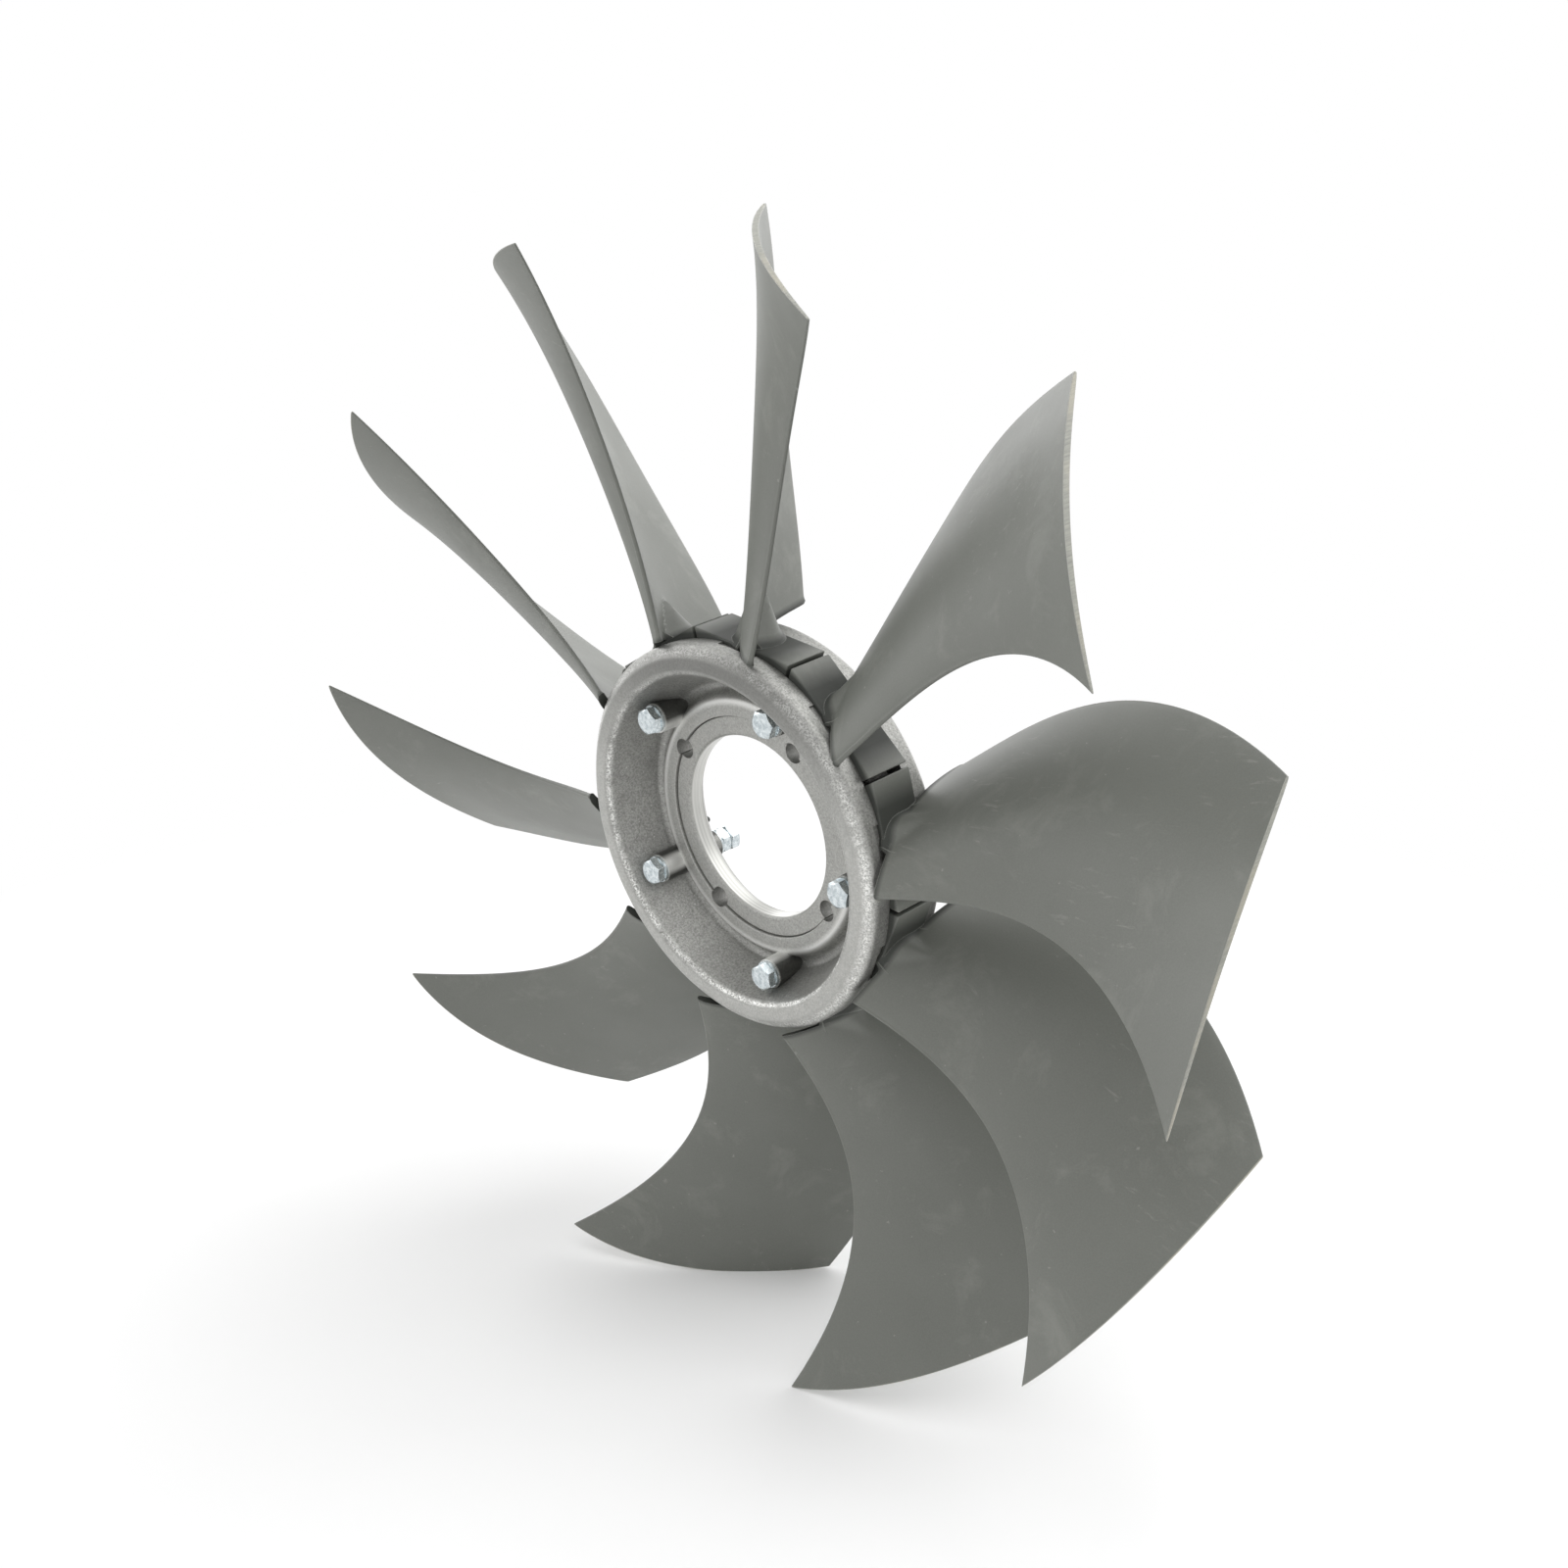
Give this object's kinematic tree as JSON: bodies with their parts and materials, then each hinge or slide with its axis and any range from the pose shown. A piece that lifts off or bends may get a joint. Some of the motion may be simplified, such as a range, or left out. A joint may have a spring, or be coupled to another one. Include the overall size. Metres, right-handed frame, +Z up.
{
  "type": "radiator fan",
  "caption": "Axial radiator fan with forward-swept moulded blades, whose feet are clamped between two die-cast hub halves.",
  "frame": {"origin": "on the axis of the pilot bore, in the middle plane of the hub", "axes": "fan axis along Y; the front, with the bolt heads, faces -Y; +Z is up; the first blade's leading tip corner is 66 degrees above +X, and the blades are numbered clockwise seen from the front"},
  "size_m": [0.6, 0.1289, 0.6],
  "materials": {
    "cast_aluminium": "as cast, tumbled",
    "blade_plastic": "satin",
    "zinc_steel": "bright zinc plating"
  },
  "bodies": {
    "root": {"front_hub_half": "cast_aluminium", "rear_hub_half": "cast_aluminium", "blade_1": "blade_plastic", "blade_2": "blade_plastic", "blade_3": "blade_plastic", "blade_4": "blade_plastic", "blade_5": "blade_plastic", "blade_6": "blade_plastic", "blade_7": "blade_plastic", "blade_8": "blade_plastic", "blade_9": "blade_plastic", "blade_10": "blade_plastic", "bolt_1": "zinc_steel", "bolt_2": "zinc_steel", "bolt_3": "zinc_steel", "bolt_4": "zinc_steel", "bolt_5": "zinc_steel", "front_washer_1": "zinc_steel", "front_washer_2": "zinc_steel", "front_washer_3": "zinc_steel", "front_washer_4": "zinc_steel", "front_washer_5": "zinc_steel", "rear_washer_1": "zinc_steel", "rear_washer_2": "zinc_steel", "rear_washer_3": "zinc_steel", "rear_washer_4": "zinc_steel", "rear_washer_5": "zinc_steel", "nut_1": "zinc_steel", "nut_2": "zinc_steel", "nut_3": "zinc_steel", "nut_4": "zinc_steel", "nut_5": "zinc_steel", "lock_nut_1": "zinc_steel", "lock_nut_2": "zinc_steel", "lock_nut_3": "zinc_steel", "lock_nut_4": "zinc_steel", "lock_nut_5": "zinc_steel"}
  },
  "joints": []
}
